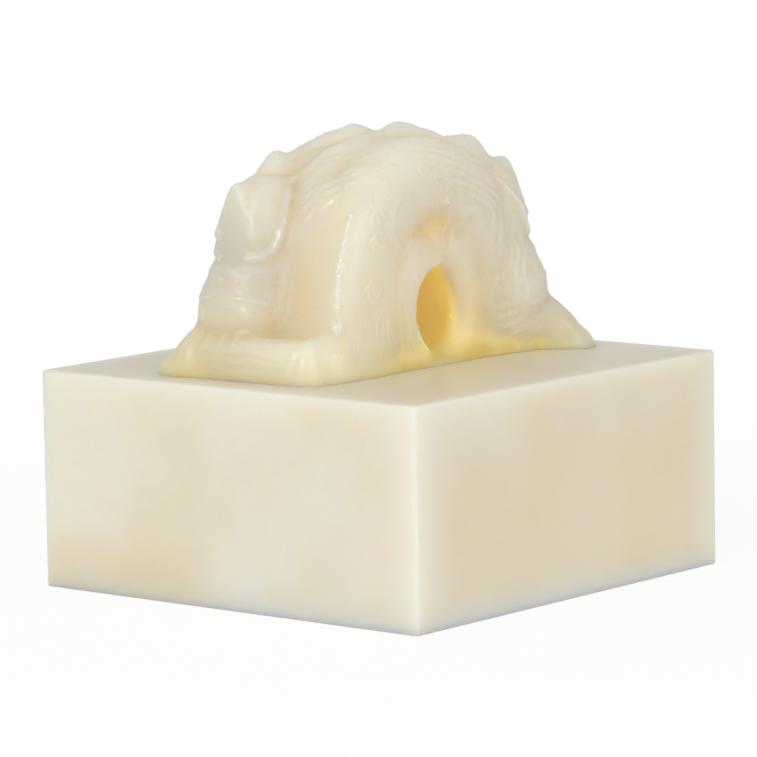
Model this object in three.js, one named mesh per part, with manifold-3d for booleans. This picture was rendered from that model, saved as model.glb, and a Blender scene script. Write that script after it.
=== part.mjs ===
// Square seal stamp of pale translucent stone with a double-dragon knob, in millimetres, +Z up.
// The origin is the middle of the printing face. Two dragons lie side by side on the block, head to tail:
// the front dragon faces -Y and the rear dragon is the same animal turned half way round Z.
import * as THREE from 'three';
import { mergeVertices } from 'three/addons/utils/BufferGeometryUtils.js';
import Module from 'manifold-3d';

// Driving dimensions of the block
const blockSide = 100;
const blockHeight = 45.5;
const blockCornerRadius = 1;
const blockEdgeRadius = 0.8;

// Driving dimensions of the printing face
const faceThickness = 4;
const faceCutDepth = 1.8;
const borderWidth = 4;
const fretCells = 3;
const fretLine = 2.6;
const fretSpace = 3;

// Driving dimensions of the knob
const cutGap = 0.3;
const cordHoleWidth = 15;
const cordHoleHeight = 17.6;
const cordHoleSill = 2.8;
const webInset = 1.4;
const webWall = 6;
const webCover = 8.6;
const webEdge = 3;
const trunkHalfWidth = 8.4;
const trunkHalfDepth = 11.2;
const trunkReach = 24;
const trunkCrown = 36;
const crestBase = 2.6;
const crestEdge = 0.9;
const muzzleHalfWidth = 10.4;
const skullHalfWidth = 8;
const forelegRadius = 4.3;
const toeRadius = 2.2;
const toeReach = 8.4;
const haunchHalfWidth = 4.5;
const tailRadius = 2.3;
const lockRadius = 2.2;
const hornRadius = 2;

// Places that follow from them
const flank = 2 * trunkHalfWidth;
const trunkX = -trunkHalfWidth - cutGap / 2;
const headX = trunkX - 0.5;
const deckSink = 3;

// Colours of the stone
const stoneColour = 0xe8e0cc;
const lightStoneColour = 0xece5d3;
const warmStoneColour = 0xe2cf9d;
const stoneRoughness = 0.28;

const wasm = await Module();
wasm.setup();

// Turns a closed three.js geometry into a solid.
function solidOf(geometry) {
  const bare = geometry.clone();
  bare.deleteAttribute('normal');
  bare.deleteAttribute('uv');
  const merged = mergeVertices(bare, 1e-4);
  return new wasm.Manifold(new wasm.Mesh({
    numProp: 3,
    vertProperties: new Float32Array(merged.attributes.position.array),
    triVerts: new Uint32Array(merged.index.array),
  }));
}

function joined(solids) {
  return solids.reduce((whole, piece) => whole.add(piece));
}

function without(solid, cutters) {
  return cutters.reduce((rest, cutter) => rest.subtract(cutter), solid);
}

// The largest single body of a solid, without the crumbs that a cut leaves.
function mainBody(solid) {
  return solid.decompose().reduce((a, b) => (a.volume() > b.volume() ? a : b));
}

function box(low, high) {
  const size = high.map((value, i) => value - low[i]);
  const geometry = new THREE.BoxGeometry(...size);
  geometry.translate(...low.map((value, i) => value + size[i] / 2));
  return solidOf(geometry);
}

// An ellipsoid with its radii along X, Y and Z.
function ball([x, y, z], [rx, ry, rz], grow = 0, around = 10) {
  const geometry = new THREE.SphereGeometry(1, around, Math.round(around * 0.65));
  geometry.rotateX(Math.PI / 2);
  geometry.scale(rx + grow, ry + grow, rz + grow);
  geometry.translate(x, y, z);
  return solidOf(geometry);
}

// A closed skin over rings of points, each ring with as many points, between two end points.
function skin(rings, first, last) {
  const count = rings[0].length;
  const positions = [first, ...rings.flat(), last].flatMap((p) => [p.x, p.y, p.z]);
  const at = (ring, i) => 1 + ring * count + (i % count);
  const faces = [];
  for (let i = 0; i < count; i += 1) {
    faces.push(0, at(0, i + 1), at(0, i));
    for (let ring = 0; ring < rings.length - 1; ring += 1) {
      faces.push(at(ring, i), at(ring, i + 1), at(ring + 1, i));
      faces.push(at(ring, i + 1), at(ring + 1, i + 1), at(ring + 1, i));
    }
    faces.push(at(rings.length - 1, i), at(rings.length - 1, i + 1), positions.length / 3 - 1);
  }
  const geometry = new THREE.BufferGeometry();
  geometry.setAttribute('position', new THREE.Float32BufferAttribute(positions, 3));
  geometry.setIndex(faces);
  return solidOf(geometry);
}

// A round-ended limb along a smooth line through stations [x, y, z, half width, half depth].
// The half width lies along the side direction, and the half depth square to it and to the line.
// A square power above 2 makes the section fuller than an ellipse.
function limb(stations, { side = [1, 0, 0], grow = 0, sides = 14, steps = 6, square = 2 } = {}) {
  const full = (value) => Math.sign(value) * Math.abs(value) ** (2 / square);
  const line = new THREE.CatmullRomCurve3(stations.map((s) => new THREE.Vector3(s[0], s[1], s[2])));
  const count = (stations.length - 1) * steps;
  const capAngles = [0.8];
  const sideway = new THREE.Vector3(...side);
  const slices = [];
  for (let i = 0; i <= count; i += 1) {
    const t = i / count;
    const along = t * (stations.length - 1);
    const k = Math.min(Math.floor(along), stations.length - 2);
    const mix = (j) => THREE.MathUtils.lerp(stations[k][j], stations[k + 1][j], along - k) + grow;
    slices.push({ centre: line.getPoint(t), tangent: line.getTangent(t), a: mix(3), b: mix(4) });
  }
  const ring = (slice, shrink, shift) => {
    const across = sideway.clone().addScaledVector(slice.tangent, -sideway.dot(slice.tangent)).normalize();
    const deep = new THREE.Vector3().crossVectors(slice.tangent, across);
    return Array.from({ length: sides }, (unused, i) => {
      const angle = (2 * Math.PI * i) / sides;
      return slice.centre.clone()
        .addScaledVector(slice.tangent, shift)
        .addScaledVector(across, full(Math.cos(angle)) * slice.a * shrink)
        .addScaledVector(deep, full(Math.sin(angle)) * slice.b * shrink);
    });
  };
  const first = slices[0];
  const last = slices[count];
  const reach = (slice) => Math.min(slice.a, slice.b);
  const rings = [
    ...capAngles.map((angle) => ring(first, Math.cos(angle), -Math.sin(angle) * reach(first))),
    ...slices.map((slice) => ring(slice, 1, 0)),
    ...capAngles.toReversed().map((angle) => ring(last, Math.cos(angle), Math.sin(angle) * reach(last))),
  ];
  const tip = (slice, sign) => slice.centre.clone().addScaledVector(slice.tangent, sign * reach(slice));
  return skin(rings, tip(first, -1), tip(last, 1));
}

function geometryOf(solid) {
  const { vertProperties, triVerts } = solid.getMesh();
  const geometry = new THREE.BufferGeometry();
  geometry.setAttribute('position', new THREE.Float32BufferAttribute(vertProperties, 3));
  geometry.setIndex(Array.from(triVerts));
  return geometry;
}

// The same solid turned half way round Z, as the rear dragon stands to the front one.
function turned(solid) {
  return solidOf(geometryOf(solid).rotateZ(Math.PI));
}

function meshOf(name, solid, colour) {
  const mesh = new THREE.Mesh(
    geometryOf(mainBody(solid)),
    new THREE.MeshStandardMaterial({ color: colour, roughness: stoneRoughness, metalness: 0 }),
  );
  mesh.name = name;
  return mesh;
}

// The block and its printing face

function roundedSquare(side, radius) {
  const reach = side / 2 - radius;
  const shape = new THREE.Shape();
  shape.absarc(reach, reach, radius, 0, Math.PI / 2);
  shape.absarc(-reach, reach, radius, Math.PI / 2, Math.PI);
  shape.absarc(-reach, -reach, radius, Math.PI, 1.5 * Math.PI);
  shape.absarc(reach, -reach, radius, 1.5 * Math.PI, 2 * Math.PI);
  return shape;
}

function prism(shape, low, high) {
  const geometry = new THREE.ExtrudeGeometry(shape, {
    depth: high - low, bevelEnabled: false, curveSegments: 4,
  });
  geometry.translate(0, 0, low);
  return solidOf(geometry);
}

function sealBlock() {
  const geometry = new THREE.ExtrudeGeometry(
    roundedSquare(blockSide - 2 * blockEdgeRadius, blockCornerRadius - blockEdgeRadius),
    {
      depth: blockHeight - 2 * blockEdgeRadius,
      bevelThickness: blockEdgeRadius,
      bevelSize: blockEdgeRadius,
      bevelSegments: 3,
      curveSegments: 4,
    },
  );
  geometry.translate(0, 0, blockEdgeRadius);
  const half = blockSide;
  const under = box([-half, -half, -blockEdgeRadius], [half, half, faceThickness]);
  return solidOf(geometry).subtract(under);
}

// One square spiral of the fret, drawn as bars from the outside in.
function spiral(centreX, centreY, size, flip) {
  const pitch = 2 * fretLine;
  const half = fretLine / 2;
  const corners = [];
  for (let reach = size / 2 - half; reach > pitch / 2; reach -= pitch) {
    corners.push([-reach, -reach], [reach, -reach], [reach, reach], [-reach, reach]);
    corners.push([-reach, -reach + pitch], [-reach + pitch, -reach + pitch]);
  }
  const place = ([x, y]) => [centreX + flip * x, centreY + y];
  const bars = [];
  for (let i = 1; i < corners.length; i += 1) {
    const [x0, y0] = place(corners[i - 1]);
    const [x1, y1] = place(corners[i]);
    bars.push(box(
      [Math.min(x0, x1) - half, Math.min(y0, y1) - half, 0],
      [Math.max(x0, x1) + half, Math.max(y0, y1) + half, (faceCutDepth + faceThickness) / 2],
    ));
  }
  return joined(bars);
}

// The printing face: a flush border and a field of square spirals, left standing by the cut ground.
function sealFace() {
  const field = blockSide - 2 * borderWidth;
  const ground = box([-field / 2, -field / 2, -faceThickness], [field / 2, field / 2, faceCutDepth]);
  const plate = prism(roundedSquare(blockSide, blockCornerRadius), 0, faceThickness).subtract(ground);
  const cell = (field - fretSpace) / fretCells;
  const frets = [];
  for (let i = 0; i < fretCells; i += 1) {
    for (let j = 0; j < fretCells; j += 1) {
      const x = (i + 0.5) * cell - (field - fretSpace) / 2;
      const y = (j + 0.5) * cell - (field - fretSpace) / 2;
      frets.push(spiral(x, y, cell - fretSpace, (i + j) % 2 ? 1 : -1));
    }
  }
  return joined([plate, ...frets]);
}

// The members of one dragon, lying from its head at -Y to its rump at +Y, on the deck at z = 0.
// Its outer side is at -X, and its inner side touches the other dragon at x = 0.
// Each takes a grow value, which makes the cutter that clears it from its neighbours.

function trunk(grow = 0) {
  const a = trunkHalfWidth;
  const b = trunkHalfDepth;
  return limb([
    [trunkX, -trunkReach + 2, -deckSink, a - 0.4, b - 2],
    [trunkX, -trunkReach + 1, 10, a - 0.2, b - 1.4],
    [trunkX, -trunkReach + 4, trunkCrown - 12, a, b],
    [trunkX, -trunkReach / 2, trunkCrown - 3, a, b],
    [trunkX, 0, trunkCrown, a, b],
    [trunkX, trunkReach / 2, trunkCrown - 3.4, a, b - 0.4],
    [trunkX - 0.6, trunkReach - 6, trunkCrown - 12, a - 0.8, b - 1.6],
    [trunkX - 0.8, trunkReach - 6.5, 10, a - 1.2, b - 2.4],
    [trunkX - 0.8, trunkReach - 6.5, -deckSink, a - 1.2, b - 2.4],
  ], { grow, sides: 12, steps: 2, square: 2.6 });
}

function head(grow = 0) {
  const front = -trunkReach;
  const brow = trunkCrown - 3;
  const faceX = headX + 0.7;
  const skull = limb([
    [headX - 1, front - 6, 6.5, muzzleHalfWidth - 1.6, 7.4],
    [headX - 1.2, front - 5.8, 12, muzzleHalfWidth, 9.1],
    [headX - 0.8, front - 4.6, 17.5, muzzleHalfWidth - 1.9, 8.6],
    [headX, front - 3.6, 22, skullHalfWidth - 0.1, 8.1],
    [headX, front - 2.8, brow - 4, skullHalfWidth, 8.6],
    [headX, front - 2.2, brow + 1, skullHalfWidth - 2.2, 6.4],
  ], { grow, sides: 14, steps: 2, square: 2.2 });
  const nose = ball([headX - 1.2, front - 12.4, 16.5], [4.4, 3.2, 3.2], grow, 8);
  const pair = [-1, 1];
  const nostrils = pair.map((side) => ball([headX - 1.2 + side * 3, front - 13.6, 15.2], [2, 1.8, 1.8], grow, 8));
  const brows = pair.map((side) => limb([
    [faceX + side * 1.6, front - 11.2, brow - 2.4, 1.6, 1.6],
    [faceX + side * (skullHalfWidth - 4.2), front - 10.2, brow - 0.4, 1.9, 1.9],
    [faceX + side * (skullHalfWidth - 2.4), front - 6.5, brow - 0.6, 1.6, 1.6],
  ], { grow, sides: 6, steps: 2 }));
  const eyes = pair.map((side) => ball(
    [faceX + side * (skullHalfWidth - 4.6), front - 9.3, brow - 4.4], [2.8, 2.8, 2.9], grow, 8,
  ));
  const horns = pair.map((side) => limb([
    [faceX + side * (skullHalfWidth - 4), front - 5.6, brow + 0.4, hornRadius, hornRadius],
    [faceX + side * (skullHalfWidth - 2.2), front + 2.5, brow + 3.8, hornRadius, hornRadius],
    [faceX + side * (skullHalfWidth - 1.6), front + 11, brow + 6.4, 0.7 * hornRadius, 0.7 * hornRadius],
  ], { grow, sides: 6, steps: 3 }));
  return joined([skull, nose, ...nostrils, ...brows, ...eyes, ...horns]);
}

// A blade with stepped plates, from the forehead over the neck to the crown, along stations [x, y, top, foot].
function crest(grow = 0) {
  const line = headX - 0.6;
  const front = -trunkReach;
  const crown = trunkCrown;
  const stations = [
    [line, front - 13.4, crown - 12, crown - 16], [line, front - 13.2, crown - 7.2, crown - 15.8],
    [line, front - 12.4, crown - 4.2, crown - 15], [line, front - 9.6, crown - 3, crown - 12],
    [line, front - 8.4, crown + 2.4, crown - 10.6], [line, front - 7.4, crown + 3.5, crown - 9.4],
    [line, front - 3.6, crown + 3.6, crown - 5], [line, front + 1.6, crown + 8, crown - 1],
    [line, front + 3.4, crown + 9.2, crown], [line, front + 11, crown + 9, crown + 2.5],
    [trunkX + 1.5, -9.5, crown + 10.8, crown + 4], [-3.6, -6.6, crown + 13, crown + 5],
    [-2.4, -4.8, crown + 13.8, crown + 5.5], [-1.8, -2.4, crown + 13.3, crown + 5.8],
    [-1.6, 1.6, crown + 11.4, crown + 5.8],
  ];
  const last = stations.length - 1;
  const rings = stations.map(([x, y, top, foot], i) => {
    const before = stations[Math.max(i - 1, 0)];
    const after = stations[Math.min(i + 1, last)];
    const run = new THREE.Vector2(after[0] - before[0], after[1] - before[1]).normalize();
    let shift = 0;
    if (i < 2) shift = -grow;
    if (i === last) shift = grow;
    const corner = (reach, height) => new THREE.Vector3(
      x - run.y * reach + run.x * shift, y + run.x * reach + run.y * shift, height,
    );
    return [
      corner(-crestBase - grow, foot - 2 * grow), corner(crestBase + grow, foot - 2 * grow),
      corner(crestEdge + grow, top + grow), corner(-crestEdge - grow, top + grow),
    ];
  });
  const middle = (ring) => ring.reduce((sum, p) => sum.add(p), new THREE.Vector3()).multiplyScalar(0.25);
  return skin(rings, middle(rings[0]), middle(rings[last]));
}

// Locks of the mane, each along stations [x, y, z, share of the lock's radius].
function locks(rows, grow) {
  return joined(rows.map((stations) => limb(
    stations.map(([x, y, z, share]) => [x, y, z, share * lockRadius, share * lockRadius]),
    { side: [0, 0, 1], grow, sides: 6, steps: 2 },
  )));
}

function rightMane(grow = 0) {
  const nape = -trunkReach + 2;
  const ear = trunkCrown - 6;
  return locks([
    [[-flank + 2.4, nape - 0.4, ear + 7, 1], [-flank - 0.2, nape - 0.6, ear - 1, 1.1],
      [-flank - 0.8, nape, ear - 9, 1]],
    [[-flank + 1.2, nape + 1, ear + 5, 1.05], [-flank, nape + 7, ear + 6, 0.95],
      [-flank, nape + 11.5, ear + 3.4, 0.75]],
    [[-flank - 0.2, nape, ear - 3, 1.05], [-flank - 0.4, nape + 6.4, ear - 2.4, 0.95],
      [-flank - 0.2, nape + 11, ear - 5.4, 0.7]],
  ], grow);
}

function leftMane(grow = 0) {
  const nape = -trunkReach + 2;
  const ear = trunkCrown - 6;
  return locks([
    [[-3, nape - 0.4, ear + 7, 1], [0.2, nape - 1.6, ear - 1, 1], [0.6, nape - 2.4, ear - 11, 0.9]],
    [[0, nape - 1.4, ear + 2, 0.9], [6, nape + 3.4, ear + 10, 0.9], [10.5, nape + 11, ear + 13.4, 0.65]],
    [[0.8, nape - 2.4, ear - 4, 0.9], [flank / 2, nape + 0.8, ear + 5.4, 0.9],
      [flank - 3.4, nape + 8.4, ear + 9, 0.65]],
  ], grow);
}

// Toes fanned round a paw, each a short limb that bends down to its claw.
function toes([x, y], angles, reach, grow) {
  return angles.map((angle) => {
    const out = (r) => [x + r * Math.cos(angle), y + r * Math.sin(angle)];
    return limb([
      [...out(reach * 0.4), 5.4, toeRadius, toeRadius],
      [...out(reach * 0.75), 4.4, toeRadius, toeRadius],
      [...out(reach), 1.9, toeRadius * 0.75, toeRadius * 0.8],
    ], { side: [Math.sin(angle), -Math.cos(angle), 0], grow, sides: 6, steps: 1 });
  });
}

function rightForeleg(grow = 0) {
  const r = forelegRadius;
  const wrist = [-flank + 0.3, -trunkReach - 12];
  const shoulder = ball([-flank + 6, -trunkReach + 6.4, 13.6], [6.4, 8.8, 13], grow, 12);
  const forearm = limb([
    [-flank + 3.8, -trunkReach + 4, r + 2.7, r - 0.3, r + 0.7],
    [-flank + 2.3, -trunkReach - 4, r + 0.3, r + 0.1, r + 0.1],
    [-flank + 0.8, -trunkReach - 11, r - 0.1, r + 0.5, r + 0.3],
  ], { grow, sides: 8, steps: 2 });
  const paw = ball([...wrist, r - 0.3], [r + 1.1, r + 0.7, r + 0.5], grow);
  return joined([shoulder, forearm, paw, ...toes(wrist, [3.3, 3.84, 4.35, 4.85], toeReach, grow)]);
}

function leftForeleg(grow = 0) {
  const r = forelegRadius;
  const y = -trunkReach - 12.6;
  const forearm = limb([
    [headX, y - 0.2, r - 0.1, r - 0.1, r], [0, y - 0.2, r - 0.1, r - 0.1, r + 0.1],
    [-headX, y, r - 0.1, r - 0.1, r + 0.1],
  ], { side: [0, 1, 0], grow, sides: 8, steps: 1 });
  const paw = ball([flank - 4.8, y + 0.2, r - 0.1], [r + 0.1, r - 0.1, r + 0.7], grow);
  return joined([forearm, paw, ...toes([flank - 5.4, y + 0.6], [4.3, 4.9, 5.5], 0.6 * toeReach, grow)]);
}

function hindLeg(grow = 0) {
  const a = haunchHalfWidth;
  const x = -flank + a - 0.5;
  const y = trunkReach - 3.5;
  const haunch = limb([
    [x + 0.4, y - 2.4, trunkCrown - 7, a - 0.1, 8.6], [x, y, 15, a + 0.1, 10.4], [x, y + 0.1, 2, a - 0.1, 10.4],
    [x, y + 0.1, -deckSink, a - 0.1, 10.4],
  ], { grow, sides: 10, steps: 1 });
  const spur = limb([
    [x - 1.8, y + 5.2, trunkCrown - 2, 1.4, 1.6], [x - 2.2, y + 9.2, 20, 1.8, 2.2],
    [x - 2, y + 10, 10, 2.2, 2.6], [x - 1.6, y + 10.6, 2, 2.6, 2.8],
  ], { grow, sides: 6, steps: 2 });
  return joined([haunch, spur]);
}

function tail(grow = 0) {
  const r = tailRadius;
  const z = trunkCrown - 9;
  const stem = limb([
    [-flank + 2.2, trunkReach - 2, z + 3, r, r + 0.3], [-flank + 0.6, trunkReach - 8, z + 5.4, r, r + 0.5],
    [-flank, 9, z + 3.6, r - 0.2, r + 0.3], [-flank, 3, z, r - 0.4, r],
  ], { side: [0, 0, 1], grow, sides: 6, steps: 2 });
  const tuft = [0.5, 0, -0.5].map((bend) => limb([
    [-flank, 4, z + 0.2, 0.7 * r, 0.8 * r], [-flank, -1, z - 1.4 + 4 * bend, 0.65 * r, 0.7 * r],
    [-flank + 0.2, -4.6, z - 2.2 + 7 * bend, 0.4 * r, 0.45 * r],
  ], { side: [0, 0, 1], grow, sides: 5, steps: 1 }));
  return joined([stem, ...tuft]);
}

// Turns a prism along Z into one along X, with its outline's x to Y and its y to Z.
function layAlongX(geometry, halfLength) {
  geometry.translate(0, 0, -halfLength);
  geometry.rotateX(Math.PI / 2);
  geometry.rotateZ(Math.PI / 2);
  return solidOf(geometry);
}

function cordHole() {
  const outline = new THREE.Shape();
  const middle = cordHoleSill + cordHoleHeight / 2;
  outline.absellipse(0, middle, cordHoleWidth / 2, cordHoleHeight / 2, 0, 2 * Math.PI);
  const geometry = new THREE.ExtrudeGeometry(outline, {
    depth: 2 * blockSide, bevelEnabled: false, curveSegments: 8,
  });
  return layAlongX(geometry, blockSide);
}

// The stone under the arched trunks, round the cord hole.
function cordWeb() {
  const halfLength = cordHoleWidth / 2 + webWall - webEdge;
  const springing = cordHoleSill + cordHoleHeight + webCover - halfLength - webEdge;
  const outline = new THREE.Shape();
  outline.moveTo(-halfLength, -deckSink);
  outline.lineTo(halfLength, -deckSink);
  outline.lineTo(halfLength, springing);
  outline.absarc(0, springing, halfLength, 0, Math.PI);
  const halfWidth = flank - webInset - webEdge;
  const geometry = new THREE.ExtrudeGeometry(outline, {
    depth: 2 * halfWidth,
    bevelThickness: webEdge,
    bevelSize: webEdge,
    bevelSegments: 1,
    curveSegments: 5,
  });
  return layAlongX(geometry, halfWidth);
}

// Cutting the members clear of each other

const deck = box([-blockSide, -blockSide, -blockHeight], [blockSide, blockSide, 0]);
const farSide = box([-cutGap / 2, -blockSide, -blockHeight], [blockSide, blockSide, blockSide]);
const hole = cordHole();

const makers = { trunk, head, crest, rightForeleg, leftForeleg, hindLeg };
const grown = Object.fromEntries(Object.entries(makers).map(([name, make]) => [name, make(cutGap)]));
const twin = Object.fromEntries(Object.entries(grown).map(([name, solid]) => [name, turned(solid)]));
const web = cordWeb();

const rightForelegSolid = without(rightForeleg(), [deck]);
const leftForelegSolid = without(leftForeleg(), [deck, grown.rightForeleg]);
const crestSolid = without(crest(), [farSide]);
const headSolid = without(head(), [deck, grown.rightForeleg, grown.leftForeleg, grown.crest]);
const hindLegSolid = without(hindLeg(), [deck, hole, twin.leftForeleg, twin.head]);
const trunkSolid = without(trunk(), [
  deck, farSide, hole, grown.head, grown.crest, grown.rightForeleg, grown.leftForeleg, grown.hindLeg,
  twin.head, twin.crest, twin.leftForeleg,
]);
const resting = [
  deck, grown.trunk, grown.head, grown.crest, grown.rightForeleg, grown.leftForeleg, grown.hindLeg, web,
  twin.trunk, twin.crest, twin.hindLeg, twin.head,
];
const tailSolid = without(tail(), resting);
const rightManeSolid = without(rightMane(), [...resting, tail(cutGap)]);
const leftManeSolid = without(leftMane(), [...resting, turned(tail(cutGap))]);
const webSolid = without(web, [
  deck, hole,
  ...['trunk', 'hindLeg', 'rightForeleg'].flatMap((name) => [grown[name], twin[name]]),
]);

// Assembly

const seal = new THREE.Group();
const knob = new THREE.Group();
knob.position.z = blockHeight;
seal.add(
  meshOf('seal_block', sealBlock(), stoneColour),
  meshOf('seal_face', sealFace(), lightStoneColour),
  knob,
);
knob.add(meshOf('cord_web', webSolid, warmStoneColour));

for (const [dragonName, turn] of [['front_dragon', 0], ['rear_dragon', Math.PI]]) {
  const dragon = new THREE.Group();
  dragon.rotation.z = turn;
  dragon.add(
    meshOf(`${dragonName}_trunk`, trunkSolid, stoneColour),
    meshOf(`${dragonName}_head`, headSolid, lightStoneColour),
    meshOf(`${dragonName}_crest`, crestSolid, lightStoneColour),
    meshOf(`${dragonName}_left_mane`, leftManeSolid, stoneColour),
    meshOf(`${dragonName}_right_mane`, rightManeSolid, stoneColour),
    meshOf(`${dragonName}_right_foreleg`, rightForelegSolid, stoneColour),
    meshOf(`${dragonName}_left_foreleg`, leftForelegSolid, warmStoneColour),
    meshOf(`${dragonName}_hind_leg`, hindLegSolid, stoneColour),
    meshOf(`${dragonName}_tail`, tailSolid, lightStoneColour),
  );
  knob.add(dragon);
}

export default seal;
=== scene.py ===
"""Square seal stamp of pale translucent stone, with a knob carved as two dragons lying head to tail.

Lengths are millimetres until a mesh is made, and heights on the knob are taken from the block's top.
The front dragon is shaped once, facing -Y on the -X side, and the rear one is the same form turned half
way round Z, with its head a little further out and its own crest.
"""
import math

import bpy
import numpy as np
from mathutils import Matrix, Vector
from mathutils.bvhtree import BVHTree


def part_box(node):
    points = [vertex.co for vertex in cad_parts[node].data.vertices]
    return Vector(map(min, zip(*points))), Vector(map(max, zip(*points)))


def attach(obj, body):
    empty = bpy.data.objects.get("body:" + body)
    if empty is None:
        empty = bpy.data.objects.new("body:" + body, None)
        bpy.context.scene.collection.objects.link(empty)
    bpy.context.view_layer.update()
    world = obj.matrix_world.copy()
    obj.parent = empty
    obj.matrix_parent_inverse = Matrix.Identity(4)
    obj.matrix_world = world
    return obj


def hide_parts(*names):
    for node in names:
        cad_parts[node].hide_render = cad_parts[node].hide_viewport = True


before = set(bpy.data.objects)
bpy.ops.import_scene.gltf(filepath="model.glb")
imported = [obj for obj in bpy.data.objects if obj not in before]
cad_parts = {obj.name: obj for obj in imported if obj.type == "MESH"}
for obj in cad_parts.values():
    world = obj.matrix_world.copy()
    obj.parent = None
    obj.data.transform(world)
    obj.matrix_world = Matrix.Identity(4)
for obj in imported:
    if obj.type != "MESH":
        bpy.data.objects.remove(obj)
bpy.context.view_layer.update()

MM = 0.001


def corners(node):
    """Lowest and highest corner of a node, in millimetres."""
    low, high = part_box(node)
    return np.array(low) / MM, np.array(high) / MM


# Sizes read from the frame
HALF_SIDE = corners("seal_block")[1][0]
DECK = corners("seal_block")[1][2]
TRUNK_LOW, TRUNK_HIGH = corners("front_dragon_trunk")
TRUNK_HALF_WIDTH = (TRUNK_HIGH[0] - TRUNK_LOW[0]) / 2
TRUNK_X = TRUNK_LOW[0] + TRUNK_HALF_WIDTH
TRUNK_HALF_DEPTH = 11.2
CROWN = TRUNK_HIGH[2] - DECK - TRUNK_HALF_DEPTH
FLANK = 2 * TRUNK_HALF_WIDTH
REACH = 24.0
HEAD_X = TRUNK_X - 0.5
BROW = CROWN - 3
SINK = 3.0

# How far the rear dragon's head stands off the front one's twin
REAR_HEAD = np.array([-0.4, -1.8, 0.0])

# Cord hole, an upright oval right through the knob along X
HOLE_HALF_WIDTH = 7.5
HOLE_HALF_HEIGHT = 8.8
HOLE_MIDDLE = 11.6

# Edges of the block
BLOCK_CORNER = 1.0
BLOCK_EDGE = 0.8

# Printing face
BORDER = 4.0
FRET_CELLS = 3
FRET_LINE = 2.6
FRET_SPACE = 3.0
FACE_CUT = 1.8
FACE_TOP = 3.0

# Camera, fitted to the block's corners
IMAGE = 757
AZIMUTH = math.radians(39.844)
ELEVATION = math.radians(7.791)
ROLL = math.radians(-1.022)
DISTANCE = 1.03119
FOCAL_PIXELS = 4942.0
SENSOR = 36.0
AIM_RIGHT = -0.00038
AIM_HEIGHT = 0.04153

# Fineness of the carving: sizes of the skin's cells, rounds of smoothing and the triangles kept
BODY_VOXEL = 0.8
BODY_ROUNDS = 14
CARVED_VOXEL = 0.36
CARVED_ROUNDS = 3
KNOB_TRIANGLES = 190000

# Relief cut all over the stone: scales on the backs and hair between them
SCALE_LENGTH = 3.3
SCALE_WIDTH = 3.1
SCALE_BEND = 10.0
SCALE_HEIGHT = 0.22
HAIR_RATE = 4.2
HAIR_HEIGHT = 0.09


# Surfaces on grids of points

def smooth_line(stations, steps):
    """Catmull-Rom line through the stations: on each span a cubic whose end slopes are half the chord
    between the stations on either side. Every column, widths too, is carried the same way."""
    p = np.asarray(stations, float)
    p = np.vstack([2 * p[0] - p[1], p, 2 * p[-1] - p[-2]])
    t = np.linspace(0, 1, steps, endpoint=False)[:, None]
    spans = []
    for a, b, c, d in zip(p, p[1:], p[2:], p[3:]):
        curve = 2 * b + (c - a) * t + (2 * a - 5 * b + 4 * c - d) * t**2 + (3 * b - a - 3 * c + d) * t**3
        spans.append(curve / 2)
    return np.vstack(spans + [p[-2:-1]])


def unit(v):
    return v / np.maximum(np.linalg.norm(v, axis=-1, keepdims=True), 1e-9)


def ball(centre, radii, rows=20, columns=28):
    """Ellipsoid: centre + (rx sin a cos b, ry sin a sin b, rz cos a)."""
    a = np.linspace(0, math.pi, rows)[:, None]
    b = np.linspace(0, 2 * math.pi, columns, endpoint=False)[None, :]
    grid = np.stack([np.sin(a) * np.cos(b), np.sin(a) * np.sin(b), np.cos(a) + 0 * b], -1)
    return grid * np.asarray(radii, float) + np.asarray(centre, float)


def sweep(centre, width, depth, side=(1, 0, 0), around=28, power=2.0, dome=None):
    """Sections |u/a|^p + |v/b|^p = 1 carried along the centre line, and drawn in along a quarter ellipse at
    both ends, as long as the dome."""
    tangent = unit(np.gradient(centre, axis=0))
    turn = np.radians(np.linspace(90, 15, 6))
    first = dome or min(width[0], depth[0])
    last = dome or min(width[-1], depth[-1])
    centre = np.vstack([
        centre[0] - np.sin(turn)[:, None] * first * tangent[0],
        centre,
        centre[-1] + np.sin(turn[::-1])[:, None] * last * tangent[-1],
    ])
    shrink = np.concatenate([np.cos(turn), np.ones(len(width)), np.cos(turn[::-1])])
    ends = (len(turn), len(turn))
    width = np.pad(width, ends, mode="edge") * shrink
    depth = np.pad(depth, ends, mode="edge") * shrink
    tangent = np.pad(tangent, (ends, (0, 0)), mode="edge")
    side = np.asarray(side, float)
    across = unit(side - (tangent @ side)[:, None] * tangent)
    deep = np.cross(tangent, across)
    angle = np.linspace(0, 2 * math.pi, around, endpoint=False)
    u = np.sign(np.cos(angle)) * np.abs(np.cos(angle)) ** (2 / power)
    v = np.sign(np.sin(angle)) * np.abs(np.sin(angle)) ** (2 / power)
    return (centre[:, None] + across[:, None] * (width[:, None] * u)[..., None]
            + deep[:, None] * (depth[:, None] * v)[..., None])


def limb(stations, side=(1, 0, 0), steps=8, around=28, power=2.0, dome=None):
    """Sweep along the smooth line through stations [x, y, z, half width, half depth]."""
    line = smooth_line(stations, steps)
    return sweep(line[:, :3], line[:, 3], line[:, 4], side, around, power, dome)


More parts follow.
